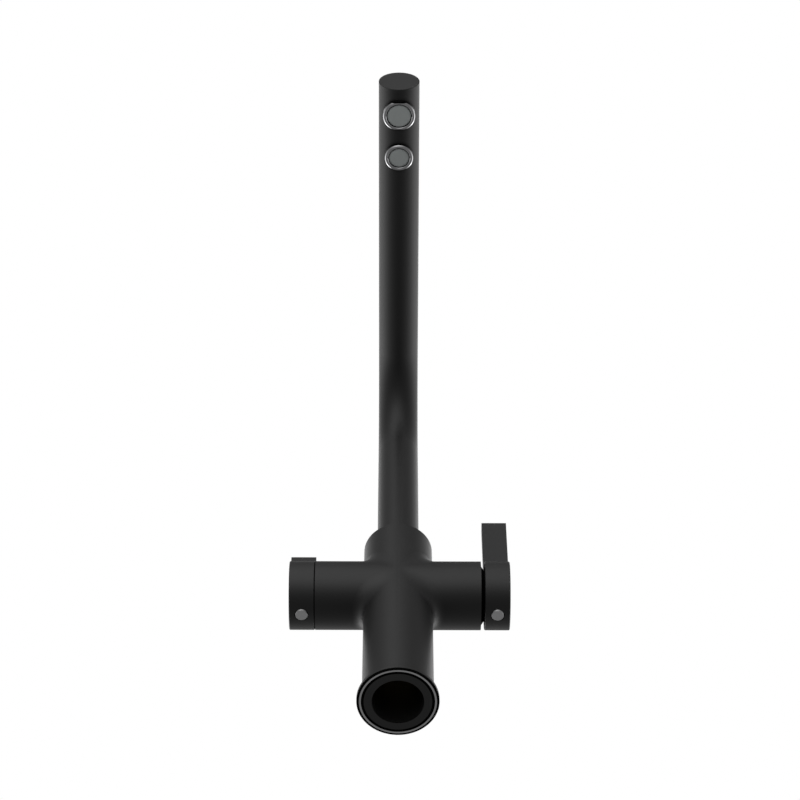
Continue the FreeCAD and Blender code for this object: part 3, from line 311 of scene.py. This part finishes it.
def pale_floor():
    """Plain floor finish that fades out far from the tap and is see-through from below."""
    material, tree, shader = finish_material("pale_floor")
    shader.inputs["Roughness"].default_value = FLOOR_ROUGHNESS
    shader.inputs["Specular IOR Level"].default_value = FLOOR_GLOSS
    mottle = add_noise(tree, FLOOR_PATCH)
    tree.links.new(add_ramp(tree, mottle, *shade(FLOOR_COLOUR, FLOOR_SPREAD)), shader.inputs["Base Color"])
    place = tree.nodes.new("ShaderNodeTexCoord")
    reach = add_math(tree, "LENGTH", "ShaderNodeVectorMath")
    fade = tree.nodes.new("ShaderNodeMapRange")
    fade.interpolation_type = "SMOOTHSTEP"
    fade.inputs["From Min"].default_value = FLOOR_FADE
    fade.inputs["From Max"].default_value = FLOOR_RADIUS
    side = tree.nodes.new("ShaderNodeNewGeometry")
    hidden = add_math(tree, "MAXIMUM")
    clear = tree.nodes.new("ShaderNodeBsdfTransparent")
    mix = tree.nodes.new("ShaderNodeMixShader")
    tree.links.new(place.outputs["Object"], reach.inputs[0])
    tree.links.new(reach.outputs["Value"], fade.inputs["Value"])
    tree.links.new(fade.outputs["Result"], hidden.inputs[0])
    tree.links.new(side.outputs["Backfacing"], hidden.inputs[1])
    tree.links.new(hidden.outputs["Value"], mix.inputs["Fac"])
    tree.links.new(shader.outputs["BSDF"], mix.inputs[1])
    tree.links.new(clear.outputs["BSDF"], mix.inputs[2])
    tree.links.new(mix.outputs["Shader"], tree.nodes["Material Output"].inputs["Surface"])
    return material


def add_floor():
    """Pale worktop just under the foot of the tap. It takes the shadow and sends no light back to the tap."""
    bpy.ops.mesh.primitive_circle_add(vertices=FLOOR_SIDES, radius=FLOOR_RADIUS, fill_type="TRIFAN")
    floor = bpy.context.object
    floor.name = "floor"
    floor.location.z = -FLOOR_DROP
    floor.data.materials.append(pale_floor())
    floor.visible_diffuse = False
    floor.visible_glossy = False
    floor.visible_transmission = False
    floor.visible_shadow = False


def towards(azimuth, elevation):
    """Unit vector; azimuth in degrees from the front to the right, elevation in degrees."""
    across = math.radians(azimuth)
    rise = math.radians(elevation)
    level = math.cos(rise)
    return Vector((math.sin(across) * level, -math.cos(across) * level, math.sin(rise)))


def add_glow(tree, direction, azimuth, elevation, half_width, strength):
    """Brightness of one soft lamp of the studio: a round glow that halves at its half width."""
    closeness = add_math(tree, "DOT_PRODUCT", "ShaderNodeVectorMath")
    closeness.inputs[1].default_value = towards(azimuth, elevation)
    fall = add_math(tree, "MULTIPLY_ADD")
    steepness = math.log(2.0) / (1.0 - math.cos(math.radians(half_width)))
    fall.inputs[1].default_value = steepness
    fall.inputs[2].default_value = math.log(strength) - steepness
    glow = add_math(tree, "EXPONENT")
    tree.links.new(direction, closeness.inputs[0])
    tree.links.new(closeness.outputs["Value"], fall.inputs[0])
    tree.links.new(fall.outputs["Value"], glow.inputs[0])
    return glow.outputs["Value"]


def add_world():
    """White backdrop for the camera; for all else a dim studio with a few soft lamps."""
    world = bpy.data.worlds.new("studio")
    scene.world = world
    world.use_nodes = True
    tree = world.node_tree
    background = tree.nodes["Background"]
    background.inputs["Color"].default_value = WHITE
    direction = tree.nodes.new("ShaderNodeTexCoord").outputs["Generated"]
    light = None
    for lamp in SOFT_LAMPS:
        total = add_math(tree, "ADD")
        tree.links.new(add_glow(tree, direction, *lamp), total.inputs[0])
        if light:
            tree.links.new(light, total.inputs[1])
        else:
            total.inputs[1].default_value = ROOM_LIGHT
        light = total.outputs["Value"]
    rays = tree.nodes.new("ShaderNodeLightPath")
    seen = tree.nodes.new("ShaderNodeMix")
    seen.inputs["B"].default_value = BACKDROP
    tree.links.new(rays.outputs["Is Camera Ray"], seen.inputs["Factor"])
    tree.links.new(light, seen.inputs["A"])
    tree.links.new(seen.outputs["Result"], background.inputs["Strength"])


def add_top_lamp():
    """Soft lamp over the worktop. It gives the shadow on the floor, and has no reflection of its own."""
    lamp = bpy.data.lights.new("top_lamp", "AREA")
    lamp.shape = "DISK"
    lamp.size = TOP_LAMP_WIDTH
    lamp.energy = TOP_LAMP_WATTS
    holder = bpy.data.objects.new("top_lamp", lamp)
    scene.collection.objects.link(holder)
    holder.location = TOP_LAMP_PLACE
    holder.rotation_euler = (-TOP_LAMP_PLACE).to_track_quat("-Z", "Y").to_euler()
    holder.visible_camera = False
    holder.visible_glossy = False


def add_camera():
    """The photograph's own viewpoint."""
    lens = bpy.data.cameras.new("photo_camera")
    lens.sensor_width = SENSOR_MM
    lens.lens = FOCAL_PIXELS / PHOTO_PIXELS * SENSOR_MM
    camera = bpy.data.objects.new("photo_camera", lens)
    scene.collection.objects.link(camera)
    back = towards(CAMERA_AZIMUTH, CAMERA_ELEVATION)
    camera.location = AIM + back * CAMERA_DISTANCE
    camera.rotation_euler = (-back).to_track_quat("-Z", "Y").to_euler()
    scene.camera = camera


dress_nodes()
add_floor()
add_world()
add_top_lamp()
add_camera()
scene.view_settings.view_transform = "Standard"
